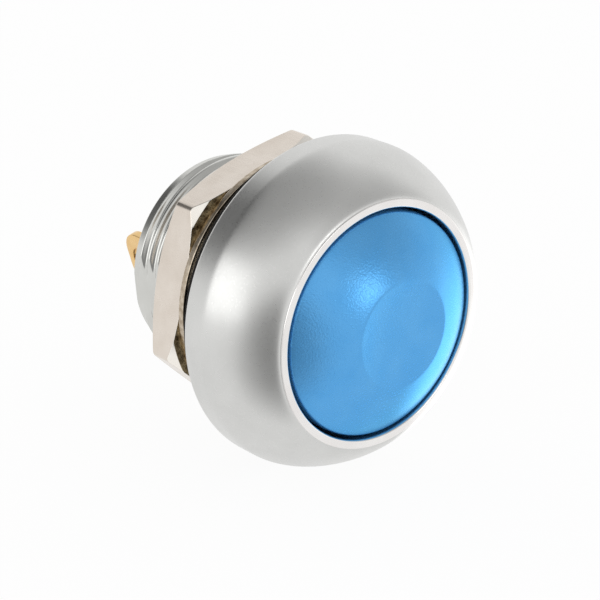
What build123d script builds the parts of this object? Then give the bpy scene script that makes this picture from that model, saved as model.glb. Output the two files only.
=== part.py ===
from build123d import *
import math
import os

# Momentary panel-mount pushbutton. Millimetres, +Z up, the button faces -Y.
# The origin is on the switch's axis, where the gasket's rear face meets the panel.
# Stations are places along Y: the front of the switch is negative, the solder lugs are positive.

# ---- driving dimensions ----
# bezel and bush, one zinc casting
bezel_diameter = 17.56
bezel_height = 5.10         # from the back face to the crest of the lip
bezel_flank = 1.00          # straight part of the rim, before the crown begins
bezel_edge_break = 0.20
opening_diameter = 12.26
lip_width = 0.62
lip_rise = 0.08
lip_round = 0.28
bush_diameter = 12.0        # crest of the M12 x 0.75 thread
bush_length = 8.36          # from the bezel's back face
bush_band_length = 0.80     # plain lead-in at the rear end
bush_band_depth = 0.30
key_flat_depth = 0.36       # the flat that keys the bush in a D-shaped hole
key_flat_angle = 185.0      # degrees from +X towards +Z
thread_pitch = 0.75
thread_depth = 0.29
thread_crest = 0.08         # flat left between two turns of the groove
thread_root = 0.12          # flat at the bottom of the groove
thread_start = 0.45         # from the bezel's back face to the middle of the groove
thread_end = 0.70           # from the bush's rear end, so the groove runs out over the lead-in
thread_phase = 189.6        # degrees from +X towards +Z, where the groove starts
ledge_height = 1.00         # inner ledge above the bezel's back face
chamber_diameter = 8.6
chamber_step = 0.50         # how much wider than the chamber the sleeve's bore is
base_step = 0.60            # how much wider than the chamber the base's bore is

# button cap
button_gap = 0.29           # all round, between the cap and the opening
rim_sink = 0.04             # the cap's rim lies this far below the lip's crest
dome_radius = 7.5
rim_round = 0.15
dish_diameter = 5.6
dish_sphere = 9.0
dish_edge_round = 0.60
crown_wall = 1.37
skirt_wall = 1.10
boss_wall = 0.85
boss_length = 1.50
travel = 1.30
end_gap = 0.25              # left under the skirt when the button is fully in

# plunger, its guide and its seal
stem_diameter = 3.5
stem_socket_depth = 0.25    # how much slimmer the stem's front end is, per side
collar_step = 0.55
collar_thickness = 0.50
sleeve_flange = 0.60
spring_pocket_depth = 0.40
running_clearance = 0.05    # radial, where one piece slides in another
seat_clearance = 0.05       # radial, where one piece is seated in another
stop_clearance = 0.05       # axial, at the clip's stop
ring_groove_depth = 0.42
ring_section = 0.45
clip_thickness = 0.40
clip_groove_depth = 0.40
clip_width = 1.10           # past the stem's surface
clip_mouth = 2.40
clip_land = 0.30

# springs
return_wire = 0.35
return_gap = 0.50           # between the cap's boss and the coil
return_turns = 5
contact_wire = 0.20
contact_turns = 3
contact_spring_length = 1.35

# contacts and solder lugs
nose_diameter = 2.2
head_step = 0.25
head_length = 0.40
bridge_thickness = 0.35
bridge_width = 2.4
contact_diameter = 1.10
contact_thickness = 0.30
contact_edge_round = 0.08
contact_clearance = 0.02    # left between the contacts at the end of the bridge's range
overtravel = 0.40           # the plunger moves this much further than the bridge
contact_turn = math.degrees(math.atan2(7, 24))  # from +X towards +Z: base, contacts and lugs
lug_pitch = 5.00
lug_width = 3.4
lug_corner_round = 1.20
lug_thickness = 0.50
lug_reach = 4.69            # past the bush's rear end
lug_hole_diameter = 1.6
lug_hole_from_tip = 1.22
foot_length = 1.19
bend_round = 0.25

# base, its ring seal and the potting behind it
base_web = 1.63
base_rim = 0.85             # wall round the contact pit
base_pit_depth = 0.77
base_seal_section = 0.46
base_seal_from_rear = 0.95
potting_thickness = 0.50
potting_recess = 0.31

# gasket, washer and nut
gasket_thickness = 0.55
gasket_inset = 0.28         # inside the bezel's flat back
panel_space = 1.38          # between the gasket and the washer
washer_thickness = 0.40
washer_reach = 1.27         # past the bush's surface
washer_rim = 0.55
washer_teeth = 14
tooth_width = 0.80
tooth_twist = 14.0          # degrees
nut_wall = 1.00             # from the bush's surface to the flats
nut_thickness = 2.42
nut_face_step = 0.10        # the face circle is this much inside the flats
nut_face_angle = 15.0       # of the turned front face
nut_break_angle = 36.0      # of the steeper break at the front corners
nut_break_reach = 0.48      # inwards from the corners
nut_rear_angle = 32.0       # of the rear chamfer
nut_turn = 17.3             # degrees from +X towards +Z, to the nearest corner

# ---- stations and radii that follow ----
bezel_back = -gasket_thickness
bush_end = bezel_back + bush_length
lip_crest = bezel_back - bezel_height
ledge = bezel_back - ledge_height
bezel_radius = bezel_diameter / 2
opening_radius = opening_diameter / 2
lip_radius = opening_radius + lip_width
bush_radius = bush_diameter / 2
chamber_radius = chamber_diameter / 2
sleeve_bore_radius = chamber_radius + chamber_step
base_bore_radius = chamber_radius + base_step

base_rear = bush_end - potting_recess - potting_thickness
pit_floor = base_rear - base_web
base_front = pit_floor - base_pit_depth
lug_front = pit_floor - lug_thickness
fixed_face = lug_front - contact_thickness
bridge_rear = fixed_face - contact_clearance - (travel - overtravel) - contact_thickness
bridge_front = bridge_rear - bridge_thickness
shoulder = bridge_front - contact_spring_length
clip_front = shoulder - clip_land - clip_thickness
sleeve_rear = clip_front - stop_clearance
sleeve_front = ledge - sleeve_flange
pocket_floor = sleeve_front + spring_pocket_depth
skirt_end = sleeve_front - travel - end_gap

cap_radius = opening_radius - button_gap
cap_rim = lip_crest + rim_sink
dome_centre = cap_rim + math.sqrt(dome_radius**2 - cap_radius**2)
dish_radius = dish_diameter / 2
dish_edge = dome_centre - math.sqrt(dome_radius**2 - dish_radius**2)
dish_floor = dish_edge + dish_sphere - math.sqrt(dish_sphere**2 - dish_radius**2)
ceiling = dish_floor + crown_wall
cavity_radius = cap_radius - skirt_wall

stem_radius = stem_diameter / 2
stem_end_radius = stem_radius - stem_socket_depth
socket_radius = stem_end_radius + seat_clearance
boss_radius = socket_radius + boss_wall
boss_end = ceiling + boss_length
collar_radius = stem_radius + collar_step
guide_radius = stem_radius + running_clearance
nose_radius = nose_diameter / 2
return_radius = boss_radius + return_gap + return_wire / 2
pocket_radius = return_radius + return_wire / 2 + running_clearance
contact_spring_radius = (nose_radius + stem_radius) / 2
lug_centre = lug_pitch / 2
lug_inner = lug_centre - lug_thickness / 2
lug_outer = lug_centre + lug_thickness / 2
contact_x = lug_outer - foot_length / 2
washer_front = panel_space
washer_radius = bush_radius + washer_reach
nut_across_flats = bush_diameter + 2 * nut_wall
nut_front = panel_space + washer_thickness
nut_rear = nut_front + nut_thickness


def across(station):
    """A plane across the switch's axis: local x is +X, local y is +Z, and it looks to the front."""
    return Plane.XZ.offset(-station)


def turned(piece):
    """The base, its contacts and its lugs stand turned in the bush."""
    return piece.rotate(Axis.Y, -contact_turn)


def save(piece, name):
    piece.label = name
    export_step(piece, f"parts/{name}.step")


os.makedirs("parts", exist_ok=True)


def thread_groove():
    """The groove of the bush's right-hand thread: a trapezoid swept along a helix."""
    overlap = seat_clearance    # how far the trapezoid stands out of the bush
    slope = (thread_pitch - thread_crest - thread_root) / 2 / thread_depth
    half_top = thread_root / 2 + slope * (thread_depth + overlap)
    start = bezel_back + thread_start
    height = bush_end - thread_end - start
    with BuildPart() as groove:
        with BuildLine() as path:
            Helix(thread_pitch, height, bush_radius, center=(0, start, 0), direction=(0, 1, 0))
        first = path.line @ 0
        with BuildSketch(Plane(first, x_dir=(first.X, 0, first.Z), z_dir=path.line % 0)):
            Polygon(
                (-thread_depth, -thread_root / 2),
                (overlap, -half_top),
                (overlap, half_top),
                (-thread_depth, thread_root / 2),
                align=None,
            )
        sweep(is_frenet=True)
    return groove.part.rotate(Axis.Y, -thread_phase)


# ---- housing: domed bezel and threaded bush ----
thread = thread_groove()
with BuildPart() as housing:
    with BuildSketch(Plane.XY) as housing_profile:
        with BuildLine():
            Polyline(
                (bush_radius, bezel_back),
                (bezel_radius - bezel_edge_break, bezel_back),
                (bezel_radius, bezel_back - bezel_edge_break),
                (bezel_radius, bezel_back - bezel_flank),
            )
            # crown: an arc that leaves the flank without a corner
            TangentArc(
                (bezel_radius, bezel_back - bezel_flank),
                (lip_radius, lip_crest + lip_rise),
                tangent=(0, -1),
            )
            Polyline(
                (lip_radius, lip_crest + lip_rise),
                (lip_radius - lip_rise, lip_crest),
                (opening_radius, lip_crest),
                (opening_radius, ledge),
                (sleeve_bore_radius, ledge),
                (sleeve_bore_radius, sleeve_rear),
                (chamber_radius, sleeve_rear),
                (chamber_radius, base_front),
                (base_bore_radius, base_front),
                (base_bore_radius, bush_end),
                (bush_radius - bush_band_depth, bush_end),
                (bush_radius - bush_band_depth, bush_end - bush_band_length),
                (bush_radius, bush_end - bush_band_length - bush_band_depth),
                (bush_radius, bezel_back),
            )
        make_face()
        lip_corner = housing_profile.vertices().sort_by_distance((opening_radius, lip_crest))[0]
        fillet(lip_corner, radius=lip_round)
    revolve(axis=Axis.Y)
    add(thread, mode=Mode.SUBTRACT)
    # key flat along the whole bush
    with BuildSketch(across(bush_end)) as key_flat:
        with Locations(Rotation(0, 0, key_flat_angle)):
            with Locations((bush_radius - key_flat_depth + bush_radius / 2, 0)):
                Rectangle(bush_radius, bush_diameter)
    extrude(amount=bush_length, mode=Mode.SUBTRACT)
save(housing.part, "housing")

# ---- button cap: dome with a finger dish, skirt and socket ----
with BuildPart() as button_cap:
    with BuildSketch(Plane.XY) as cap_profile:
        with BuildLine():
            RadiusArc((0, dish_floor), (dish_radius, dish_edge), dish_sphere)
            RadiusArc((dish_radius, dish_edge), (cap_radius, cap_rim), -dome_radius)
            Polyline(
                (cap_radius, cap_rim),
                (cap_radius, skirt_end),
                (cavity_radius, skirt_end),
                (cavity_radius, ceiling),
                (boss_radius, ceiling),
                (boss_radius, boss_end),
                (socket_radius, boss_end),
                (socket_radius, ceiling),
                (0, ceiling),
                (0, dish_floor),
            )
        make_face()
        fillet(cap_profile.vertices().sort_by_distance((cap_radius, cap_rim))[0], radius=rim_round)
        fillet(
            cap_profile.vertices().sort_by_distance((dish_radius, dish_edge))[0],
            radius=dish_edge_round,
        )
    revolve(axis=Axis.Y)
save(button_cap.part, "button_cap")

# ---- plunger: stem with a seal groove, a clip groove, a nose and a head behind the bridge ----
groove_middle = (pocket_floor + sleeve_rear - travel) / 2
groove_radius = stem_radius - ring_groove_depth
clip_seat_radius = stem_radius - clip_groove_depth
groove_half = ring_section / 2 + seat_clearance
with BuildPart() as plunger:
    with BuildSketch(Plane.XY):
        with BuildLine():
            Polyline(
                (0, ceiling),
                (stem_end_radius, ceiling),
                (stem_end_radius, boss_end),
                (collar_radius, boss_end),
                (collar_radius, boss_end + collar_thickness),
                (stem_radius, boss_end + collar_thickness),
                (stem_radius, groove_middle - groove_half),
                (groove_radius, groove_middle - groove_half),
                (groove_radius, groove_middle + groove_half),
                (stem_radius, groove_middle + groove_half),
                (stem_radius, clip_front),
                (clip_seat_radius, clip_front),
                (clip_seat_radius, clip_front + clip_thickness),
                (stem_radius, clip_front + clip_thickness),
                (stem_radius, shoulder),
                (nose_radius, shoulder),
                (nose_radius, bridge_rear),
                (nose_radius + head_step, bridge_rear),
                (nose_radius + head_step, bridge_rear + head_length),
                (0, bridge_rear + head_length),
                (0, ceiling),
            )
        make_face()
    revolve(axis=Axis.Y)
save(plunger.part, "plunger")

# ---- plunger seal: rubber ring in the stem's groove ----
with BuildPart() as plunger_seal:
    with BuildSketch(Plane.XY):
        with Locations((groove_radius + ring_section / 2, groove_middle)):
            Circle(ring_section / 2)
    revolve(axis=Axis.Y)
save(plunger_seal.part, "plunger_seal")

# ---- guide sleeve: carries the stem, with a pocket for the return spring ----
with BuildPart() as guide_sleeve:
    with BuildSketch(Plane.XY):
        with BuildLine():
            Polyline(
                (guide_radius, pocket_floor),
                (pocket_radius, pocket_floor),
                (pocket_radius, sleeve_front),
                (opening_radius - seat_clearance, sleeve_front),
                (opening_radius - seat_clearance, ledge),
                (sleeve_bore_radius - seat_clearance, ledge),
                (sleeve_bore_radius - seat_clearance, sleeve_rear),
                (guide_radius, sleeve_rear),
                (guide_radius, pocket_floor),
            )
        make_face()
    revolve(axis=Axis.Y)
save(guide_sleeve.part, "guide_sleeve")

# ---- retaining clip: C-shaped, in the stem's rear groove ----
with BuildPart() as retaining_clip:
    with BuildSketch(across(clip_front + clip_thickness)):
        Circle(stem_radius + clip_width)
        Circle(clip_seat_radius + seat_clearance, mode=Mode.SUBTRACT)
        with Locations((0, -stem_radius - clip_width)):
            Rectangle(clip_mouth, 2 * (stem_radius + clip_width), mode=Mode.SUBTRACT)
    extrude(amount=clip_thickness)
save(retaining_clip.part, "retaining_clip")


def coil(front, rear, radius, wire, turns):
    """A compression spring of round wire that reaches from the front station to the rear one."""
    height = rear - front - wire
    with BuildPart() as spring:
        with BuildLine() as path:
            Helix(height / turns, height, radius, center=(0, front + wire / 2, 0), direction=(0, 1, 0))
        with BuildSketch(Plane(path.line @ 0, z_dir=path.line % 0)):
            Circle(wire / 2)
        sweep(is_frenet=True)
    return spring.part


# ---- springs ----
save(coil(ceiling, pocket_floor, return_radius, return_wire, return_turns), "return_spring")
save(
    coil(shoulder, bridge_front, contact_spring_radius, contact_wire, contact_turns),
    "contact_spring",
)

# ---- contact bridge: slides on the plunger's nose ----
bridge_length = 2 * (contact_x + contact_diameter / 2 + contact_thickness / 2)
with BuildPart() as contact_bridge:
    with BuildSketch(across(bridge_rear)):
        SlotOverall(bridge_length, bridge_width)
        Circle(nose_radius + running_clearance, mode=Mode.SUBTRACT)
    extrude(amount=bridge_thickness)
save(turned(contact_bridge.part), "contact_bridge")


def contact(x, rear):
    """A silver contact disc whose rear face is at the given station."""
    with BuildPart() as disc:
        with BuildSketch(across(rear)):
            with Locations((x, 0)):
                Circle(contact_diameter / 2)
        extrude(amount=contact_thickness)
        fillet(disc.edges().filter_by(GeomType.CIRCLE), radius=contact_edge_round)
    return disc.part


def solder_lug(side):
    """A lug with a foot inside the base and a blade that leaves it at the rear."""
    tip = bush_end + lug_reach
    inner = min(side * lug_inner, side * lug_outer)
    with BuildPart() as lug:
        with BuildSketch(Plane.YZ.offset(inner)) as blade:
            with Locations(((lug_front + tip) / 2, 0)):
                Rectangle(tip - lug_front, lug_width)
            fillet(blade.vertices().group_by(Axis.X)[-1], radius=lug_corner_round)
            with Locations((tip - lug_hole_from_tip, 0)):
                Circle(lug_hole_diameter / 2, mode=Mode.SUBTRACT)
        extrude(amount=lug_thickness)
        with BuildSketch(across(pit_floor)):
            with Locations((side * contact_x, 0)):
                Rectangle(foot_length, lug_width)
        extrude(amount=lug_thickness)
        bend = lug.edges().filter_by(Axis.Z).sort_by_distance((side * lug_outer, lug_front, 0))[0]
        fillet(bend, radius=bend_round)
    return lug.part


# ---- the two sides: moving contact, fixed contact and lug ----
for side_name, side in (("left", -1), ("right", 1)):
    moving_contact = contact(side * contact_x, bridge_rear + contact_thickness)
    save(turned(moving_contact), f"moving_contact_{side_name}")
    save(turned(contact(side * contact_x, lug_front)), f"fixed_contact_{side_name}")
    save(turned(solder_lug(side)), f"terminal_{side_name}")

# ---- terminal base: insulator with a pit for the contacts and slots for the lugs ----
base_radius = base_bore_radius - seat_clearance
seal_inner = base_bore_radius - seat_clearance - base_seal_section
seal_middle = base_rear - base_seal_from_rear
with BuildPart() as terminal_base:
    with BuildSketch(Plane.XY):
        with BuildLine():
            Polyline(
                (0, pit_floor),
                (base_radius - base_rim, pit_floor),
                (base_radius - base_rim, base_front),
                (base_radius, base_front),
                (base_radius, seal_middle - base_seal_section / 2),
                (seal_inner, seal_middle - base_seal_section / 2),
                (seal_inner, seal_middle + base_seal_section / 2),
                (base_radius, seal_middle + base_seal_section / 2),
                (base_radius, base_rear),
                (0, base_rear),
                (0, pit_floor),
            )
        make_face()
    revolve(axis=Axis.Y)
    with BuildSketch(across(base_rear)):
        with Locations((-lug_centre, 0), (lug_centre, 0)):
            Rectangle(lug_thickness + 2 * seat_clearance, lug_width + 2 * seat_clearance)
    extrude(amount=base_web, mode=Mode.SUBTRACT)
save(turned(terminal_base.part), "terminal_base")

# ---- base seal: rubber ring between the base and the bush ----
with BuildPart() as base_seal:
    with BuildSketch(Plane.XY):
        with Locations((seal_inner + base_seal_section / 2, seal_middle)):
            Circle(base_seal_section / 2)
    revolve(axis=Axis.Y)
save(base_seal.part, "base_seal")

# ---- potting: resin poured behind the base, round the lugs ----
with BuildPart() as potting:
    with BuildSketch(across(bush_end - potting_recess)):
        Circle(base_bore_radius - seat_clearance)
        with Locations((-lug_centre, 0), (lug_centre, 0)):
            Rectangle(lug_thickness, lug_width, mode=Mode.SUBTRACT)
    extrude(amount=potting_thickness)
save(turned(potting.part), "potting")

# ---- panel gasket ----
with BuildPart() as panel_gasket:
    with BuildSketch(across(0)):
        Circle(bezel_radius - bezel_edge_break - gasket_inset)
        Circle(bush_radius + seat_clearance, mode=Mode.SUBTRACT)
    extrude(amount=gasket_thickness)
save(panel_gasket.part, "panel_gasket")

# ---- lock washer: rim with twisted teeth that point at the bush ----
tooth_root = washer_radius - washer_rim
tooth_tip = bush_radius + 2 * seat_clearance
tooth_bite = washer_rim / 2     # how far a tooth runs into the rim
tilt = math.radians(tooth_twist)
# a twisted tooth is thinned so that it stays between the washer's faces
tooth_thickness = (washer_thickness - tooth_width * math.sin(tilt)) / math.cos(tilt)
with BuildPart() as lock_washer:
    with BuildSketch(across(nut_front)):
        Circle(washer_radius)
        Circle(tooth_root, mode=Mode.SUBTRACT)
    extrude(amount=washer_thickness)
    for turn in range(washer_teeth):
        tooth_angle = math.radians(360 / washer_teeth * turn)
        outwards = Vector(math.cos(tooth_angle), 0, math.sin(tooth_angle))
        sideways = Vector(-math.sin(tooth_angle), 0, math.cos(tooth_angle))
        facing = Vector(0, -1, 0) * math.cos(tilt) + sideways * math.sin(tilt)
        middle = (0, nut_front - washer_thickness / 2, 0)
        tooth_plane = Plane(origin=middle, x_dir=outwards, z_dir=facing)
        with BuildSketch(tooth_plane.offset(-tooth_thickness / 2)):
            with Locations(((tooth_tip + tooth_root + tooth_bite) / 2, 0)):
                Rectangle(tooth_root + tooth_bite - tooth_tip, tooth_width)
        extrude(amount=tooth_thickness)
save(lock_washer.part, "lock_washer")

# ---- hex nut: chamfered on both sides, with a second break at the front corners ----
nut_face_radius = nut_across_flats / 2 - nut_face_step
corner_radius = nut_across_flats / 2 / math.cos(math.radians(30))
break_radius = corner_radius - nut_break_reach
break_front = nut_front + (break_radius - nut_face_radius) * math.tan(math.radians(nut_face_angle))
corner_front = break_front + nut_break_reach * math.tan(math.radians(nut_break_angle))
corner_rear = nut_rear - (corner_radius - nut_face_radius) * math.tan(math.radians(nut_rear_angle))
with BuildPart() as hex_nut:
    with BuildSketch(across(nut_rear)):
        RegularPolygon(nut_across_flats / 2, 6, major_radius=False, rotation=nut_turn)
        Circle(bush_radius + seat_clearance, mode=Mode.SUBTRACT)
    extrude(amount=nut_thickness)
    with BuildSketch(Plane.XY):
        Polygon(
            (0, nut_front),
            (nut_face_radius, nut_front),
            (break_radius, break_front),
            (corner_radius, corner_front),
            (corner_radius, corner_rear),
            (nut_face_radius, nut_rear),
            (0, nut_rear),
            align=None,
        )
    revolve(axis=Axis.Y, mode=Mode.INTERSECT)
save(hex_nut.part, "hex_nut")
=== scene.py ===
import math

import bmesh
import bpy
import numpy as np
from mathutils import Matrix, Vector


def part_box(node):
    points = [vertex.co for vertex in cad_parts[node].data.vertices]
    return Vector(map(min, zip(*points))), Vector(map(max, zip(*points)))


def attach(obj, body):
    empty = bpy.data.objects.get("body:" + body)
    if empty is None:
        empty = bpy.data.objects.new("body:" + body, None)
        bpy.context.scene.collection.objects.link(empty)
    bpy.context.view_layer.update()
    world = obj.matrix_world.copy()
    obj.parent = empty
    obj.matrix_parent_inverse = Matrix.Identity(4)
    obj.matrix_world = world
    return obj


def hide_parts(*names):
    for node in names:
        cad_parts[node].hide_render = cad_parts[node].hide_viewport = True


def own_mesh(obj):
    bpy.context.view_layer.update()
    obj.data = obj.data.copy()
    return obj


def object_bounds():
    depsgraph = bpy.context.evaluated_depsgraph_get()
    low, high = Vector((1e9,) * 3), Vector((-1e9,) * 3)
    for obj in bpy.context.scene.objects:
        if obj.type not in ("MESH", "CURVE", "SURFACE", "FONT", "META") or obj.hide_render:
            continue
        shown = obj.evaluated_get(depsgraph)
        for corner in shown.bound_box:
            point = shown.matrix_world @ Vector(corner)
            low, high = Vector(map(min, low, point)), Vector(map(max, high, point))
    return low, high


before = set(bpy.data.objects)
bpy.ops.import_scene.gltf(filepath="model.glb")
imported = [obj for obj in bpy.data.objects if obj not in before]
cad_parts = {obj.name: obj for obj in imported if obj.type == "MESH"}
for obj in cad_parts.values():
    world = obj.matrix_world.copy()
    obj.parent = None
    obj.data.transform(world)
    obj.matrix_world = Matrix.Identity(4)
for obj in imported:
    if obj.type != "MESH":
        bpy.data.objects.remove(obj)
cadLow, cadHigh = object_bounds()
mm = 0.001  # lengths in the dictionaries below are in millimetres, and angles in degrees


def span(node):
    # a node's front and rear stations and its outer radius, in mm
    low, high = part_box(node)
    return low.y / mm, high.y / mm, max(high.x, high.z) / mm


def bezier(controls, steps):
    # the curve whose point at t is the sum of C(n, k) t^k (1-t)^(n-k) times control point k
    t = np.linspace(0, 1, steps)[:, None]
    last = len(controls) - 1
    return sum(math.comb(last, k) * t ** k * (1 - t) ** (last - k) * np.asarray(point, float)
               for k, point in enumerate(controls))


def toward(here, there, reach, share):
    # the point at that reach on the way from here to there, and never past that share of the way
    way = there - here
    length = np.maximum(np.linalg.norm(way, axis=-1, keepdims=True), 1e-9)  # never divides by 0
    return here + way / length * np.minimum(reach, share * length)


# a corner's rounding takes at most this share of the edge beside it, and a guard row lies
# guardReach radii from the corner, to keep the flat beside the rounding flat
rounding = {"share": 0.3, "guardReach": 1.6, "guardShare": 0.45}


def softened(corners, radii, steps=4, closed=True):
    # corners[k, column] is a point (r, y) of a section, and each one is rounded off:
    # between the points A and B one radius before and after the corner P runs the curve
    # (1-t)^2 A + 2t(1-t) P + t^2 B
    corners = np.asarray(corners, float)
    if corners.ndim == 2:
        corners = corners[:, None, :]
    rows = []
    count = len(corners)
    t = np.linspace(0, 1, steps + 1)[:, None, None]
    for k, here in enumerate(corners):
        if radii[k] == 0 or (not closed and k in (0, count - 1)):
            rows.append(here[None])
            continue
        beside = corners[k - 1], corners[(k + 1) % count]
        a, b = (toward(here, there, radii[k], rounding["share"]) for there in beside)
        guardReach = rounding["guardReach"] * radii[k]
        guards = [toward(here, there, guardReach, rounding["guardShare"])[None] for there in beside]
        rows += [guards[0], (1 - t) ** 2 * a + 2 * t * (1 - t) * here + t ** 2 * b, guards[1]]
    return np.concatenate(rows)


def lesser(a, b, soft):
    # the smaller of two radii, with the corner between them rounded:
    # (a + b - sqrt((a - b)^2 + soft^2)) / 2
    return (a + b - np.sqrt((a - b) ** 2 + soft ** 2)) / 2


def around(columns):
    # that many angles, evenly round the axis
    return np.linspace(0, 2 * math.pi, columns, endpoint=False)


def repeated(section, columns):
    # the same section (r, y) at every column
    return np.broadcast_to(np.reshape(section, (-1, 1, 2)), (len(section), columns, 2))


def turned(section, angles):
    # a section (r, y) at each angle q becomes the point (r cos q, y, r sin q)
    r = np.broadcast_to(section[..., 0], (section.shape[0], len(angles)))
    y = np.broadcast_to(section[..., 1], r.shape)
    return np.stack([r * np.cos(angles), y, r * np.sin(angles)], axis=-1)


def placed(name, data):
    # an object with this data, in the scene
    made = bpy.data.objects.new(name, data)
    bpy.context.scene.collection.objects.link(made)
    return made


def gridPiece(name, points, poles=False):
    # points[row, column] in mm: the columns close up, and so do the rows unless both ends are poles
    rows, columns = points.shape[:2]
    across = np.arange(columns)
    nextAcross = (across + 1) % columns
    if poles:
        rows -= 2
        vertices = np.concatenate([points[1:-1].reshape(-1, 3), points[0, :1], points[-1, :1]])
        lower, upper = np.arange(rows - 1), np.arange(1, rows)
    else:
        vertices = points.reshape(-1, 3)
        lower = np.arange(rows)
        upper = (lower + 1) % rows
    quads = np.stack([
        lower[:, None] * columns + across,
        lower[:, None] * columns + nextAcross,
        upper[:, None] * columns + nextAcross,
        upper[:, None] * columns + across,
    ], axis=-1).reshape(-1, 4)
    faces = quads.tolist()
    if poles:
        firstPole, lastPole = rows * columns, rows * columns + 1
        lastRow = (rows - 1) * columns
        faces += np.stack([nextAcross, across, np.full(columns, firstPole)], axis=-1).tolist()
        faces += np.stack(
            [lastRow + across, lastRow + nextAcross, np.full(columns, lastPole)], axis=-1
        ).tolist()
    # the volume times six, as the sum of a . (b x c) over the triangles: below 0 the faces look in
    a, b, c, d = (vertices[quads[:, k]] for k in range(4))
    volume = np.einsum("ij,ij->", a, np.cross(b, c)) + np.einsum("ij,ij->", a, np.cross(c, d))
    if volume < 0:
        faces = [face[::-1] for face in faces]
    mesh = bpy.data.meshes.new(name)
    mesh.from_pydata((vertices * mm).tolist(), [], faces)
    mesh.shade_smooth()
    mesh.update()
    return placed(name, mesh)


def settle(piece, body, slotName, materials, *nodes):
    # the piece gets its materials, rides its body and stands for its nodes
    for material in materials:
        piece.data.materials.append(material)
    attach(piece, body)
    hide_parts(*nodes)
    return piece


def linear(hexColour):
    # sRGB hex to linear: c / 12.92 below 0.04045, else ((c + 0.055) / 1.055) ^ 2.4
    values = [int(hexColour[k:k + 2], 16) / 255 for k in (1, 3, 5)]
    return [v / 12.92 if v <= 0.04045 else ((v + 0.055) / 1.055) ** 2.4 for v in values] + [1.0]


def addNode(tree, kind, inputs, **settings):
    # one node with its settings; an input is either a value or another node's output
    node = tree.nodes.new(kind)
    for key, value in settings.items():
        setattr(node, key, value)
    for key, value in inputs.items():
        if isinstance(value, bpy.types.NodeSocket):
            tree.links.new(value, node.inputs[key])
        else:
            node.inputs[key].default_value = value
    return node


# the two noises of every surface, and the bands of noise that go from one look to the other
grain = {
    "fineDetail": 2.0, "fineBand": (0.3, 0.7), "broadDetail": 3.0, "broadBand": (0.35, 0.65),
    "detailShare": 0.55,
}


def surface(name, colours, roughness, grainSize, relief, stretch=(1, 1, 1), blotch=18, **sockets):
    # fine grain, its size and relief in mm, drives the roughness and the bumps,
    # and grain blotch times as wide drives the colour
    material = bpy.data.materials.new(name)
    material.use_nodes = True
    tree = material.node_tree
    shader = tree.nodes["Principled BSDF"]
    for key, value in sockets.items():
        shader.inputs[key].default_value = value
    place = addNode(tree, "ShaderNodeTexCoord", {}).outputs["Object"]
    drawn = addNode(tree, "ShaderNodeMapping", {"Vector": place, "Scale": stretch}).outputs[0]
    fine, broad = (addNode(tree, "ShaderNodeTexNoise", {
        "Vector": vector, "Scale": 1 / (size * mm), "Detail": detail,
        "Roughness": grain["detailShare"],
    }).outputs["Fac"] for vector, size, detail in (
        (drawn, grainSize, grain["fineDetail"]), (place, grainSize * blotch, grain["broadDetail"])))
    patch = addNode(tree, "ShaderNodeMapRange", {
        "Value": broad, "From Min": grain["broadBand"][0], "From Max": grain["broadBand"][1]})
    mixed = addNode(tree, "ShaderNodeMix", {  # 0, 6, 7 and output 2 are a colour mix's sockets
        0: patch.outputs["Result"], 6: linear(colours[0]), 7: linear(colours[1]),
    }, data_type="RGBA")
    dull = addNode(tree, "ShaderNodeMapRange", {
        "Value": fine, "From Min": grain["fineBand"][0], "From Max": grain["fineBand"][1],
        "To Min": roughness[0], "To Max": roughness[1]})
    bumps = addNode(tree, "ShaderNodeBump", {
        "Height": fine, "Distance": relief * mm, "Strength": 1.0})
    for output, key in ((mixed.outputs[2], "Base Color"), (dull.outputs["Result"], "Roughness"),
                        (bumps.outputs["Normal"], "Normal")):
        tree.links.new(output, shader.inputs[key])
    return material


metallic = {"Metallic": 1.0}
# zinc casting, bead blasted and chrome plated: pale grey with a soft sheen and a very fine grain
satinChrome = surface("blastedChromeZinc", ("#cfcfcd", "#d4d4d2"), (0.27, 0.33), 0.11, 0.0010,
                      **metallic)
# the lip is turned after blasting, with a tighter sheen; its near white colour, lighter than the
# bezel's, is a painted highlight ring
turnedLipPaintedHighlight = surface("turnedChromeLipPaintedHighlight", ("#e8e5e3", "#edebe9"), (0.16, 0.20), 0.10, 0.0003,
                    **metallic)
# barrel-plated thread: a little darker and wetter than the blasted face
bushPlating = surface("barrelPlatedZinc", ("#c8c8c4", "#d2d2ce"), (0.11, 0.18), 0.16, 0.0010,
                      **metallic)
# nickel on milled brass: warm pale grey, with faint lines along the axis
nickelBrass = surface("nickelOnMilledBrass", ("#d6ccc1", "#ded5cb"), (0.20, 0.28), 0.09, 0.0008,
                      stretch=(1, 0.06, 1), **metallic)
# where the nut's front is turned, its brown colour is painted shade and painted reflection of the
# dark bezel back, and its cream patches are painted highlights
paintedShadeNickel = surface("nickelWithPaintedBrownShade", ("#5f4a2c", "#dcc79c"), (0.22, 0.36), 0.08, 0.0015,
                     blotch=6, Metallic=0.7)
# the broken corners: their near white colour is a painted glint, with a tight shine
paintedGlintNickel = surface("nickelWithPaintedGlint", ("#efe9e0", "#f7f3ec"), (0.14, 0.20), 0.09, 0.0005,
                    **metallic)
# stamped spring steel with bright nickel: brownish grey, mottled, with a tight shine
nickelSteel = surface("nickelOnStampedSteel", ("#a2937f", "#cbbfae"), (0.14, 0.24), 0.10, 0.0015,
                      blotch=3, **metallic)
# flash gold on stamped brass: warm yellow, faint lines from the rolled strip
goldPlate = surface("goldOnStampedBrass", ("#e0b878", "#eac68a"), (0.22, 0.32), 0.10, 0.0008,
                    stretch=(1, 0.08, 1), **metallic)
# drawn wire: mid grey with a dull shine along the coil
springSteel = surface("drawnSpringSteel", ("#9c9a95", "#aeaba5"), (0.24, 0.34), 0.06, 0.0006,
                      **metallic)
# bare rolled brass: yellow, with a soft shine
contactBrass = surface("stampedBrass", ("#cfb06a", "#d8bb78"), (0.26, 0.36), 0.09, 0.0010,
                       **metallic)
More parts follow.
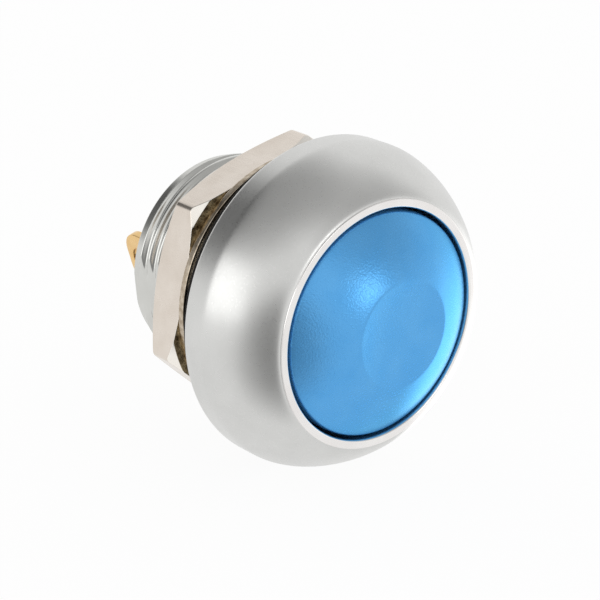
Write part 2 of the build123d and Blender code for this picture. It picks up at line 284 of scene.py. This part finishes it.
# silver pressed to shape: pale, and a little brighter than the brass round it
contactSilver = surface("coinedSilver", ("#dcdad4", "#e6e4df"), (0.22, 0.32), 0.06, 0.0008,
                        **metallic)
# moulded ABS with pearl pigment and a spark-eroded texture: its highlights keep the blue and
# break up into specks
blueAbs = surface("pearlBlueAbs", ("#5aa6e2", "#61abe5"), (0.18, 0.30), 0.10, 0.0120,
                  IOR=1.40, Metallic=0.65,
                  **{"Specular Tint": (0.40, 0.85, 1.0, 1.0), "Specular IOR Level": 0.25})
# nitrile rubber from a mould: near black and dull
blackRubber = surface("mouldedNitrileRubber", ("#12100e", "#1a1714"), (0.75, 0.90), 0.12, 0.0040,
                      **{"Specular IOR Level": 0.25})
# nylon filled with glass: black with a grey bloom
blackNylon = surface("glassFilledNylon", ("#1c1c1d", "#252526"), (0.40, 0.55), 0.14, 0.0030)
# acetal from a mould: milky white with a waxy shine
whiteAcetal = surface("mouldedAcetal", ("#e6e3da", "#ece9e1"), (0.30, 0.40), 0.14, 0.0010, IOR=1.48)
# epoxy poured and left to level: black and wet
pottingResin = surface("pouredEpoxy", ("#151517", "#1d1d20"), (0.12, 0.22), 0.30, 0.0015, IOR=1.55)
print("materials ready")


housingSizes = {
    # the bezel's flank, the crease above it, the crown and the lip
    "flankLength": 1.50, "creaseRound": 0.14, "creaseAngle": 9.0, "creasePast": 1.6,
    "shoulderAngle": 84.0, "shoulderReach": 0.50, "slopeReach": 1.65,
    "openingRadius": 6.13, "lipWidth": 0.47, "lipRise": 0.07, "lipLean": 0.01,
    "lipRound": 0.28, "lipOuterRound": 0.12,
    "edgeBreak": 0.20, "edgeRound": 0.10, "backRound": 0.06,
    # the bush, its thread and its key flat
    "bushRadius": 6.00, "leadLength": 0.80, "leadDepth": 0.30, "firstRow": 0.01, "lastRow": 0.20,
    "threadPitch": 0.75, "threadDepth": 0.29, "threadCrest": 0.08, "threadRoot": 0.12,
    "threadStart": 0.45, "threadEnd": 0.70, "threadPhase": 189.6, "threadEase": 0.6,
    "runOut": 0.025, "cornerSoft": 0.025,
    "flatDistance": 5.64, "flatAngle": 185.0, "flatHalf": 0.6,  # its plane reaches 0.6 radians
    # the bores, from the rear end to the ledge that the sleeve's flange lies on
    "baseBore": 4.90, "chamberBore": 4.30, "sleeveBore": 4.80, "sleeveFlange": 0.60,
    "endRound": 0.10, "boreRound": 0.05,
    "columns": 264, "rowsPerThread": 19, "lipSteps": 10, "crownSteps": 60, "creaseSteps": 6,
}


def grooveDepth(theta, y, sizes, first, last):
    # the groove's middle is at first + pitch (n - turn) for a whole n, and its depth falls from
    # the root's edge to the crest's edge as t - ease sin(2 pi t) / (2 pi)
    pitch = sizes["threadPitch"]
    turn = (theta - math.radians(sizes["threadPhase"])) / (2 * math.pi)
    middle = first + pitch * (np.round((y - first) / pitch + turn) - turn)
    flank = (pitch - sizes["threadCrest"] - sizes["threadRoot"]) / 2
    t = np.clip(((pitch - sizes["threadCrest"]) / 2 - np.abs(y - middle)) / flank, 0, 1)
    cut = t - sizes["threadEase"] * np.sin(2 * math.pi * t) / (2 * math.pi)
    begun = np.clip((middle - first) / sizes["runOut"], 0, 1)
    goingOn = np.clip((last - middle) / sizes["runOut"], 0, 1)
    return sizes["threadDepth"] * cut * begun * goingOn


def bezelSection(sizes, crest, back, ledge, radius):
    # from the ledge up the opening, over the lip, down the crown and the flank to the flat back
    lipEdge = sizes["openingRadius"] + sizes["lipWidth"]
    end = np.array([lipEdge + sizes["lipLean"], crest + sizes["lipRise"]])
    lip = softened(
        [[sizes["openingRadius"], ledge], [sizes["openingRadius"], crest], [lipEdge, crest], end],
        [0, sizes["lipRound"], sizes["lipOuterRound"], 0],
        steps=sizes["lipSteps"], closed=False)[:, 0]
    # the crown leaves the crease and arrives at the lip at the two given angles from the axis
    start = np.array([radius, back - sizes["flankLength"]])
    lean, shoulder = math.radians(sizes["creaseAngle"]), math.radians(sizes["shoulderAngle"])
    leave = start - sizes["slopeReach"] * np.array([math.sin(lean), math.cos(lean)])
    arrive = end + sizes["shoulderReach"] * np.array([math.sin(shoulder), math.cos(shoulder)])
    crown = bezier([start, leave, arrive, end], sizes["crownSteps"])[::-1]
    crown = crown[np.linalg.norm(crown - start, axis=-1) > sizes["creaseRound"]]
    crease = bezier([crown[-1], start, start + [0, sizes["creaseRound"]]], sizes["creaseSteps"])
    rear = softened(
        [start + [0, sizes["creasePast"] * sizes["creaseRound"]],
         [radius, back - sizes["edgeBreak"]], [radius - sizes["edgeBreak"], back],
         [sizes["bushRadius"], back]],
        [0, sizes["edgeRound"], sizes["backRound"], 0], closed=False)[:, 0]
    return lip, np.concatenate([crown[1:], crease[1:], rear[:-1]])


def makeHousing(sizes):
    crest, bushEnd, radius = span("housing")
    back = span("panel_gasket")[0]
    sleeve, base = span("guide_sleeve"), span("terminal_base")
    ledge = sleeve[0] + sizes["sleeveFlange"]
    theta = around(sizes["columns"])
    lip, bezel = bezelSection(sizes, crest, back, ledge, radius)
    y = np.arange(back + sizes["firstRow"], bushEnd - sizes["lastRow"],
                  sizes["threadPitch"] / sizes["rowsPerThread"])
    turns, rows = np.meshgrid(theta, y)
    thread = sizes["bushRadius"] - grooveDepth(
        turns, rows, sizes, back + sizes["threadStart"], bushEnd - sizes["threadEnd"])
    # the lead-in falls at 45 degrees to the plain band at the rear end
    fall = np.clip(rows - (bushEnd - sizes["leadLength"]), 0, sizes["leadDepth"])
    lead = sizes["bushRadius"] - fall
    # the key flat is a plane: r = distance / cos(angle from its middle)
    away = (turns - math.radians(sizes["flatAngle"]) + math.pi) % (2 * math.pi) - math.pi
    flat = sizes["flatDistance"] / np.cos(np.clip(away, -sizes["flatHalf"], sizes["flatHalf"]))
    bush = lesser(lesser(thread, lead, sizes["cornerSoft"]), flat, sizes["cornerSoft"])
    bush = np.stack([bush, rows], axis=-1)
    # the rear end is rounded over from whatever radius the bush has at its last row
    lastRow = bush[-1]
    bores = repeated([
        (sizes["baseBore"], bushEnd), (sizes["baseBore"], base[0]), (sizes["chamberBore"], base[0]),
        (sizes["chamberBore"], sleeve[1]), (sizes["sleeveBore"], sleeve[1]),
        (sizes["sleeveBore"], ledge)], len(theta))
    rearEdge = np.stack([lastRow[:, 0], np.full(len(theta), bushEnd)], axis=-1)
    inside = softened(
        np.concatenate([lastRow[None], rearEdge[None], bores]),
        [0] + 2 * [sizes["endRound"]] + 4 * [sizes["boreRound"]] + [0], closed=False)[1:]
    outside = repeated(np.concatenate([lip, bezel]), len(theta))
    piece = gridPiece("housing_casting", turned(np.concatenate([outside, bush, inside]), theta))
    # rows of faces: the lip with its painted highlight, then the blasted bezel, then the plated
    # bush
    row = np.arange(len(piece.data.polygons)) // len(theta)
    finish = np.where(row < len(lip) - 1, 1, np.where(row < len(outside), 0, 2))
    piece.data.polygons.foreach_set("material_index", finish.astype(np.int32))
    return piece


settle(makeHousing(housingSizes), "switch_body", "satin_chrome_zinc",
       (satinChrome, turnedLipPaintedHighlight, bushPlating), "housing")
print("housing ready")


capSizes = {
    "radius": 5.98, "domeRadius": 9.2, "rimRound": 0.45, "rimSink": 0.15,
    "dishRadius": 2.86, "dishSphere": 15.0, "dishSoft": 0.025, "dishFade": 0.5,
    "skirtWall": 1.10, "skirtRound": 0.12, "crownWall": 0.90, "cavityRound": 0.30,
    "bossRadius": 2.40, "bossLength": 1.50, "bossFoot": 0.20, "bossRound": 0.08,
    "socketRadius": 1.55, "socketRound": 0.05,
    "columns": 192, "faceRows": 110, "steps": 6,
}


def makeCap(sizes):
    radius, dish = sizes["radius"], sizes["dishRadius"]
    rim = span("housing")[0] + sizes["rimSink"]
    skirtEnd = span("button_cap")[1]
    # the dome and the dish are spheres: y = centre -+ sqrt(radius^2 - r^2)
    centre = rim + math.sqrt(sizes["domeRadius"] ** 2 - radius ** 2)
    r = np.linspace(0, radius - sizes["rimRound"], sizes["faceRows"])
    dome = centre - np.sqrt(sizes["domeRadius"] ** 2 - r ** 2)
    dishEdge = centre - math.sqrt(sizes["domeRadius"] ** 2 - dish ** 2)
    dishCentre = dishEdge - math.sqrt(sizes["dishSphere"] ** 2 - dish ** 2)
    hollow = dishCentre + np.sqrt(sizes["dishSphere"] ** 2 - r ** 2)
    # the dish meets the dome in a soft edge, (a + b + sqrt((a - b)^2 + soft^2)) / 2,
    # and outside the dish its effect fades as exp(-((r - dish) / fade)^2)
    face = (dome + hollow + np.sqrt((dome - hollow) ** 2 + sizes["dishSoft"] ** 2)) / 2
    fade = np.exp(-((r - dish) / sizes["dishFade"]) ** 2)
    face = np.where(r < dish, face, dome + (face - dome) * fade)
    ceiling = dishCentre + sizes["dishSphere"] + sizes["crownWall"]
    cavity = radius - sizes["skirtWall"]
    bossEnd = ceiling + sizes["bossLength"]
    top = np.stack([r, face], axis=-1)
    skirt = softened(
        [top[-1], [radius, rim], [radius, skirtEnd], [cavity, skirtEnd], [cavity, ceiling],
         [sizes["bossRadius"], ceiling], [sizes["bossRadius"], bossEnd],
         [sizes["socketRadius"], bossEnd], [sizes["socketRadius"], ceiling], [0, ceiling]],
        [0, sizes["rimRound"], sizes["skirtRound"], sizes["skirtRound"], sizes["cavityRound"],
         sizes["bossFoot"], sizes["bossRound"], sizes["bossRound"], sizes["socketRound"], 0],
        steps=sizes["steps"], closed=False)[:, 0]
    section = np.concatenate([top, skirt[1:]])
    return gridPiece("cap_moulding", turned(section[:, None], around(sizes["columns"])), poles=True)


settle(makeCap(capSizes), "button", "blue_plastic", (blueAbs,), "button_cap")
print("cap ready")


gasketSizes = {"columns": 192, "edge": 0.10, "boreClearance": 0.05}


def makeGasket(sizes):
    front, rear, outer = span("panel_gasket")
    inner = housingSizes["bushRadius"] + sizes["boreClearance"]
    section = softened(
        [[inner, front], [outer, front], [outer, rear], [inner, rear]], [sizes["edge"]] * 4)
    return gridPiece("gasket_ring", turned(section, around(sizes["columns"])))


settle(makeGasket(gasketSizes), "switch_body", "black_rubber", (blackRubber,), "panel_gasket")


washerSizes = {
    "rim": 0.55, "tip": 6.10, "teeth": 14, "toothWidth": 0.80, "twist": 14.0,
    "edge": 0.07, "noseShare": 0.6,
    # columns of one tooth, and how far in radians its wall and the gap begin beside it
    "toothColumns": 7, "gapColumns": 8, "wallStep": 0.012, "gapStep": 0.04, "toothRows": 9,
}


def makeWasher(sizes):
    front, rear, outer = span("lock_washer")
    root, middle, thickness = outer - sizes["rim"], outer - sizes["rim"] / 2, rear - front
    pitch = 2 * math.pi / sizes["teeth"]
    half = sizes["toothWidth"] / 2 / sizes["tip"]
    # columns of one tooth: its face, its side wall, then the gap up to the next tooth
    local = np.concatenate([
        np.linspace(-half, half, sizes["toothColumns"]), [half + sizes["wallStep"]],
        np.linspace(half + sizes["gapStep"], pitch - half - sizes["gapStep"], sizes["gapColumns"]),
        [pitch - half - sizes["wallStep"]]])
    onTooth = np.where(np.arange(len(local)) < sizes["toothColumns"], 1.0, 0.0)
    theta = (np.arange(sizes["teeth"])[:, None] * pitch + local).ravel()
    tooth = np.tile(onTooth, sizes["teeth"])
    across = np.tile(np.where(onTooth > 0, local / half, 0), sizes["teeth"])
    inner = np.where(tooth > 0, sizes["tip"], root)
    edge = sizes["edge"]
    r = middle + (inner + edge - middle) * np.linspace(0, 1, sizes["toothRows"])[:, None]
    # the twist grows from the rim to the tooth's tip and thins the tooth to stay between the faces
    share = np.clip((root - r) / (root - sizes["tip"]), 0, 1)
    rise = sizes["toothWidth"] / 2 * math.tan(math.radians(sizes["twist"]))
    lean, thin = share * across * rise, share * tooth * rise
    centre = (front + rear) / 2
    lower = np.stack([r, centre + lean - (thickness / 2 - thin)], axis=-1)
    upper = np.stack([r, centre + lean + (thickness / 2 - thin)], axis=-1)
    inset = edge * sizes["noseShare"]
    nose = np.stack([np.stack([inner, upper[-1, :, 1] - inset], axis=-1),
                     np.stack([inner, lower[-1, :, 1] + inset], axis=-1)])
    outerEdge = softened([[middle, front], [outer, front], [outer, rear], [middle, rear]],
                         [0, edge, edge, 0], closed=False)
    section = np.concatenate([
        repeated(outerEdge, len(theta)), upper[1:], nose, lower[1:][::-1]])
    return gridPiece("washer_stamping", turned(section, theta))


settle(makeWasher(washerSizes), "switch_body", "nickel_steel", (nickelSteel,), "lock_washer")


nutSizes = {
    "acrossFlats": 14.0, "turn": 17.3, "cornerRound": 0.34, "edge": 0.045,
    "faceStep": 0.10, "faceAngle": 15.0, "faceRound": 0.03,
    "breakAngle": 36.0, "breakReach": 0.48, "breakInset": 0.02, "breakRound": 0.02,
    "rearAngle": 32.0, "boreClearance": 0.05, "countersink": 0.35, "sinkRound": 0.04,
    # columns in degrees from a corner: close together on its rounding, wider apart on the flats
    "cornerBands": (0.7, 1.2, 2.2), "cornerColumns": 11, "flatColumns": 41,
    # rows of faces of the turned front, from the countersink, and of the break beyond it: the front
    # takes the painted brown shade, the break the painted glint
    "frontRows": (3, 17), "breakRows": (17, 24),
}


def makeNut(sizes):
    front, rear, _ = span("hex_nut")
    flat = sizes["acrossFlats"] / 2
    sixth = math.pi / 3
    tight, wider, widest = sizes["cornerBands"]
    local = np.radians(np.concatenate([
        [-widest, -wider], np.linspace(-tight, tight, sizes["cornerColumns"]), [wider, widest],
        np.linspace(widest, 60 - widest, sizes["flatColumns"])[1:-1]]))
    theta = (np.arange(6)[:, None] * sixth + local).ravel() + math.radians(sizes["turn"])
    fromCorner = np.tile((local + sixth / 2) % sixth - sixth / 2, 6)
    # the hexagon's radius: flat / cos(30 - angle), and a circle of cornerRound near each corner
    corner = sizes["cornerRound"]
    centre = (flat - corner) / math.cos(sixth / 2)
    limit = math.atan2(corner * math.sin(sixth / 2), centre + corner * math.cos(sixth / 2))
    reach = corner ** 2 - (centre * np.sin(fromCorner)) ** 2
    rounded = centre * np.cos(fromCorner) + np.sqrt(np.maximum(reach, 0))
    hexagon = np.where(np.abs(fromCorner) < limit, rounded,
                       flat / np.cos(sixth / 2 - np.abs(fromCorner)))
    faceSlope, breakSlope, rearSlope = (
        math.tan(math.radians(sizes[key])) for key in ("faceAngle", "breakAngle", "rearAngle"))
    faceRadius = flat - sizes["faceStep"]
    faceEnd = np.minimum(hexagon, flat / math.cos(sixth / 2) - sizes["breakReach"])
    frontFace = front + (faceEnd - faceRadius) * faceSlope
    frontBreak = frontFace + (hexagon - faceEnd) * breakSlope
    rearBreak = rear - (hexagon - faceRadius) * rearSlope
    bore = housingSizes["bushRadius"] + sizes["boreClearance"]
    sink, inset = sizes["countersink"], sizes["breakInset"]
    one = np.ones_like(theta)
    corners = np.stack([np.stack([one * r, one * y], axis=-1) for r, y in (
        (bore + sink, front), (faceRadius, front), (faceEnd - inset, frontFace - inset * faceSlope),
        (hexagon, frontBreak), (hexagon, rearBreak), (faceRadius, rear),
        (bore + sink, rear), (bore, rear - sink), (bore, front + sink))])
    section = softened(corners, [
        sizes["sinkRound"], sizes["faceRound"], sizes["breakRound"], sizes["edge"], sizes["edge"],
        sizes["faceRound"]] + 3 * [sizes["sinkRound"]])
    piece = gridPiece("nut_milled", turned(section, theta))
    row = np.arange(len(piece.data.polygons)) // len(theta)
    # material 1 paints brown shade and reflection on the turned front, material 2 paints a glint on
    # the broken corners
    finish = np.zeros(len(row), np.int32)
    for index, key in ((1, "frontRows"), (2, "breakRows")):
        finish[(row >= sizes[key][0]) & (row < sizes[key][1])] = index
    piece.data.polygons.foreach_set("material_index", finish)
    return piece


settle(makeNut(nutSizes), "switch_body", "nickel_brass",
       (nickelBrass, paintedShadeNickel, paintedGlintNickel), "hex_nut")
print("gasket, washer and nut ready")


lugSizes = {
    "edge": 0.05, "turnsMoreThan": 30.0, "segments": 3, "weldWithin": 0.0005, "flatWithin": 1.0,
    "normalWeight": 100,
}


def makeLug(name, node, sizes):
    # a merged copy of the stamped lug with its flat faces joined and its edges rounded by a bevel
    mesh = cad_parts[node].data.copy()
    mesh.name = name
    mesh.materials.clear()
    shape = bmesh.new()
    shape.from_mesh(mesh)
    bmesh.ops.remove_doubles(shape, verts=shape.verts, dist=sizes["weldWithin"] * mm)
    bmesh.ops.dissolve_limit(shape, angle_limit=math.radians(sizes["flatWithin"]),
                             verts=shape.verts, edges=shape.edges)
    least = math.radians(sizes["turnsMoreThan"])
    sharp = [edge for edge in shape.edges if edge.calc_face_angle(0) > least]
    bmesh.ops.bevel(shape, geom=sharp, offset=sizes["edge"] * mm, segments=sizes["segments"],
                    profile=0.5, affect="EDGES", clamp_overlap=True)
    bmesh.ops.triangulate(shape, faces=shape.faces)
    shape.to_mesh(mesh)
    shape.free()
    mesh.shade_smooth()
    piece = placed(name, mesh)
    piece.modifiers.new("evenNormals", "WEIGHTED_NORMAL").weight = sizes["normalWeight"]
    return piece


for side in ("left", "right"):
    lug = makeLug(f"lug_{side}", f"terminal_{side}", lugSizes)
    settle(lug, "switch_body", "gold_plated_brass", (goldPlate,), f"terminal_{side}")


resinSizes = {
    "sink": 0.06, "wallRise": 0.08, "lugRise": 0.10, "reach": 0.20,
    "ripple": 0.012, "rippleX": (1.3, 0.6), "rippleZ": (1.1, -0.4),
    "lugPitch": 5.0, "lugWidth": 3.4, "lugThickness": 0.5, "turn": 16.26,
    "rings": 46, "columns": 168,
}


def makeResin(sizes):
    # a flat pool that climbs what it touches by rise * exp(-distance / reach)
    front, rear, outer = span("potting")
    theta = around(sizes["columns"])
    r = np.linspace(0, outer, sizes["rings"])[:, None]
    x, z = r * np.cos(theta), r * np.sin(theta)
    # the lugs stand side by side along the line through their centres
    lean = math.radians(sizes["turn"])
    along, across = x * math.cos(lean) + z * math.sin(lean), z * math.cos(lean) - x * math.sin(lean)
    fromCentre = np.abs(np.abs(along) - sizes["lugPitch"] / 2)
    aside = np.maximum(fromCentre - sizes["lugThickness"] / 2, 0)
    beyond = np.maximum(np.abs(across) - sizes["lugWidth"] / 2, 0)
    rise = sizes["lugRise"] * np.exp(-np.hypot(aside, beyond) / sizes["reach"])
    rise = np.maximum(rise, sizes["wallRise"] * np.exp(-(outer - r) / sizes["reach"]))
    # ripple * sin(a x + b) * cos(c z + d)
    (a, b), (c, d) = sizes["rippleX"], sizes["rippleZ"]
    y = rear - sizes["sink"] + rise + sizes["ripple"] * np.sin(a * x + b) * np.cos(c * z + d)
    top = np.stack([x, y, z], axis=-1)
    top[0] = top[0, 0]
    # the front face: a ring at the wall, one half as wide, and the pole
    under = np.stack([top[-1] * [share, 0, share] + [0, front, 0] for share in (1, 0.5, 0)])
    return gridPiece("resin_pour", np.concatenate([top, under]), poles=True)


settle(makeResin(resinSizes), "switch_body", "potting_resin", (pottingResin,), "potting")
print("lugs and resin ready")


springSizes = {
    "return_spring": {"body": "switch_body", "seat": "rear", "wire": 0.35, "turns": 6,
                      "rowsPerTurn": 48, "columns": 14, "squeeze": 1.30},
    "contact_spring": {"body": "button", "seat": "front", "wire": 0.20, "turns": 4,
                       "rowsPerTurn": 40, "columns": 12, "squeeze": 0.40},
}
# a closed end turn rises this many wire radii, and each end of the wire closes like a dome that
# is this share as deep as it is round
springEnds = {"closedRise": 2.1, "domeShare": 0.5, "domeAngles": (90, 60, 30)}


def makeSpring(name, node, sizes):
    # a tube round the helix (R cos q, y(q), -R sin q): the first and last turns lie closed, and
    # a pole ends the wire at each end
    front, rear, outer = span(node)
    wire = sizes["wire"] / 2
    radius = outer - wire
    full = 2 * math.pi
    q = np.linspace(0, full * sizes["turns"], sizes["turns"] * sizes["rowsPerTurn"])
    closed = springEnds["closedRise"] * wire
    y = np.interp(q, [0, full, q[-1] - full, q[-1]],
                  [front + wire, front + wire + closed, rear - wire - closed, rear - wire])
    path = np.stack([radius * np.cos(q), y, -radius * np.sin(q)], axis=-1)
    ahead = np.stack([-radius * np.sin(q), np.gradient(y, q), -radius * np.cos(q)], axis=-1)
    ahead /= np.linalg.norm(ahead, axis=-1, keepdims=True)
    outwards = np.stack([np.cos(q), np.zeros_like(q), -np.sin(q)], axis=-1)
    upwards = np.cross(ahead, outwards)
    # the end rows shrink to the poles along a quarter circle
    close = np.radians(springEnds["domeAngles"])
    size = np.concatenate([np.cos(close), np.ones(len(q)), np.cos(close)[::-1]])
    shift = np.concatenate([-np.sin(close), np.zeros(len(q)), np.sin(close)[::-1]])
    shift = shift * wire * springEnds["domeShare"]
    pick = np.concatenate([[0] * len(close), np.arange(len(q)), [len(q) - 1] * len(close)])
    ringAngle = around(sizes["columns"])[:, None]
    centre = path[pick] + ahead[pick] * shift[:, None]
    ring = (np.cos(ringAngle) * outwards[pick][:, None]
            + np.sin(ringAngle) * upwards[pick][:, None])
    return gridPiece(name, centre[:, None] + ring * (wire * size)[:, None, None], poles=True)


for node, sizes in springSizes.items():
    coil = makeSpring(f"{node}_coil", node, sizes)
    settle(coil, sizes["body"], "spring_steel", (springSteel,), node)
    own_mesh(coil)
print("springs ready")


# the inner pieces keep the solids' own form
nodeFinish = {
    "plunger": whiteAcetal, "plunger_seal": blackRubber, "guide_sleeve": blackNylon,
    "retaining_clip": springSteel, "contact_bridge": contactBrass,
    "moving_contact_left": contactSilver, "moving_contact_right": contactSilver,
    "fixed_contact_left": contactSilver, "fixed_contact_right": contactSilver,
    "terminal_base": blackNylon, "base_seal": blackRubber,
}
for node, material in nodeFinish.items():
    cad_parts[node].data.materials.clear()
    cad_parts[node].data.materials.append(material)


def direction(azimuth, elevation):
    # azimuth 0 is the front of the switch, -Y, and grows towards +X
    a, e = math.radians(azimuth), math.radians(elevation)
    return Vector((math.sin(a) * math.cos(e), -math.cos(a) * math.cos(e), math.sin(e)))


cameraView = {
    "azimuth": -40.3, "elevation": 21.8, "distance": 104.65, "lens": 120.0, "sensor": 36.0,
    "aimRight": -0.847, "aimUp": -0.151,  # of the axis at the bezel's back, as the camera sees it
    "near": 10.0, "far": 20000.0,
}


def makeCamera(values):
    back = direction(values["azimuth"], values["elevation"])
    turn = math.radians(values["azimuth"])
    right = Vector((math.cos(turn), math.sin(turn), 0))
    up = back.cross(right)
    bezelBack = Vector((0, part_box("panel_gasket")[0].y, 0))
    aim = bezelBack + (right * values["aimRight"] + up * values["aimUp"]) * mm
    data = bpy.data.cameras.new("camera")
    data.lens = values["lens"]
    data.sensor_width = values["sensor"]
    data.clip_start = values["near"] * mm
    data.clip_end = values["far"] * mm
    camera = placed("camera", data)
    camera.location = aim + back * values["distance"] * mm
    camera.rotation_euler = back.to_track_quat("Z", "Y").to_euler()
    bpy.context.scene.camera = camera


makeCamera(cameraView)


softboxes = {
    "softboxLeft": {"azimuth": -98, "elevation": 14, "distance": 450, "size": (350, 270),
                    "level": 0.80},
    "softboxFront": {"azimuth": 13, "elevation": 10, "distance": 500, "size": (160, 130),
                     "level": 1.70},
}


def addSoftbox(name, values):
    # a lamp whose face glows at the given level: power = level * pi * area
    data = bpy.data.lights.new(name, "AREA")
    data.shape = "RECTANGLE"
    data.size, data.size_y = values["size"][0] * mm, values["size"][1] * mm
    data.energy = values["level"] * math.pi * data.size * data.size_y
    lamp = placed(name, data)
    away = direction(values["azimuth"], values["elevation"])
    lamp.location = away * values["distance"] * mm
    lamp.rotation_euler = away.to_track_quat("Z", "Y").to_euler()


for name, values in softboxes.items():
    addSoftbox(name, values)


room = {
    "softLight": 0.88,  # of the walls on matt surfaces, where gloss sees them at 1
    # darker and lighter parts of the room in gloss: direction, core and edge in degrees, level
    "shades": (
        (-130, 70, 12, 52, 0.40),  # the open ceiling
        (-150, 35, 8, 34, 0.18),  # the gap between the ceiling and the rear wall
        (-49, -9, 9, 34, 0.30),  # the side where the camera stands
        (40, 45, 10, 46, 0.56),  # above the right front
        (80, -36, 14, 40, 2.30),  # a white card low on the right
    ),
    "white": (1, 1, 1, 1),
}


def roomLevel(tree, away, shades):
    # the product of the shades: each is 1 beyond its edge's angle, and its own level within its
    # core's, with a smooth step between
    level = 1.0
    for azimuth, elevation, core, edge, shade in shades:
        near = addNode(tree, "ShaderNodeVectorMath", {0: away, 1: direction(azimuth, elevation)},
                       operation="DOT_PRODUCT").outputs["Value"]
        lobe = addNode(tree, "ShaderNodeMapRange", {
            "Value": near, "From Min": math.cos(math.radians(edge)),
            "From Max": math.cos(math.radians(core)), "To Min": 1.0, "To Max": shade,
        }, interpolation_type="SMOOTHSTEP").outputs["Result"]
        level = addNode(tree, "ShaderNodeMath", {0: level, 1: lobe},
                        operation="MULTIPLY").outputs[0]
    return level


def rayKinds(tree):
    # whether a ray comes from the camera, and whether it comes out of gloss or clear material
    path = addNode(tree, "ShaderNodeLightPath", {}).outputs
    mirrored = addNode(tree, "ShaderNodeMath", {
        0: path["Is Glossy Ray"], 1: path["Is Transmission Ray"],
    }, operation="MAXIMUM").outputs[0]
    return path["Is Camera Ray"], mirrored


def makeWorld(values):
    world = bpy.data.worlds.new("studio")
    bpy.context.scene.world = world
    world.use_nodes = True
    tree = world.node_tree
    tree.nodes.clear()
    away = addNode(tree, "ShaderNodeTexCoord", {}).outputs["Generated"]
    level = roomLevel(tree, away, values["shades"])
    fromCamera, mirrored = rayKinds(tree)
    soft, walls, plain = (
        addNode(tree, "ShaderNodeBackground", {
            "Color": values["white"], "Strength": strength}).outputs[0]
        for strength in (values["softLight"], level, 1.0))
    lit = addNode(tree, "ShaderNodeMixShader", {0: mirrored, 1: soft, 2: walls}).outputs[0]
    seen = addNode(tree, "ShaderNodeMixShader", {0: fromCamera, 1: lit, 2: plain}).outputs[0]
    addNode(tree, "ShaderNodeOutputWorld", {"Surface": seen})


makeWorld(room)


floorValues = {
    "size": 4000.0, "glow": 0.94,  # glow is the share of its look that is its own white
    "colour": "#f4f4f4", "roughness": 0.9, "specular": 0.1,
}


def makeFloor(values):
    half = values["size"] / 2 * mm
    mesh = bpy.data.meshes.new("floor")
    mesh.from_pydata(
        [(x * half, y * half, cadLow[2]) for x, y in ((-1, -1), (1, -1), (1, 1), (-1, 1))],
        [], [(0, 1, 2, 3)])
    # matt white paper: to the camera and to gloss it is nearly its own white, with a faint shadow
    material = bpy.data.materials.new("whitePaper")
    material.use_nodes = True
    tree = material.node_tree
    shader = tree.nodes["Principled BSDF"]
    shader.inputs["Base Color"].default_value = linear(values["colour"])
    shader.inputs["Roughness"].default_value = values["roughness"]
    shader.inputs["Specular IOR Level"].default_value = values["specular"]
    fromCamera, mirrored = rayKinds(tree)
    seen = addNode(tree, "ShaderNodeMath", {0: fromCamera, 1: mirrored},
                   operation="MAXIMUM").outputs[0]
    share = addNode(tree, "ShaderNodeMath", {0: seen, 1: values["glow"]},
                    operation="MULTIPLY").outputs[0]
    # in gloss the floor is as bright as the room is that way, so it hides no shade of the room
    place = addNode(tree, "ShaderNodeTexCoord", {}).outputs["Object"]
    away = addNode(tree, "ShaderNodeVectorMath", {0: place}, operation="NORMALIZE").outputs[0]
    level = addNode(tree, "ShaderNodeMix", {  # 0, 2 and 3 are a number mix's sockets
        0: mirrored, 2: 1.0, 3: roomLevel(tree, away, room["shades"])}).outputs[0]
    glow = addNode(tree, "ShaderNodeEmission", {"Color": room["white"], "Strength": level})
    mixed = addNode(tree, "ShaderNodeMixShader", {
        0: share, 1: shader.outputs[0], 2: glow.outputs[0]}).outputs[0]
    tree.links.new(mixed, tree.nodes["Material Output"].inputs["Surface"])
    mesh.materials.append(material)
    placed("floor", mesh)


makeFloor(floorValues)
bpy.context.scene.view_settings.view_transform = "Standard"
print("studio ready")
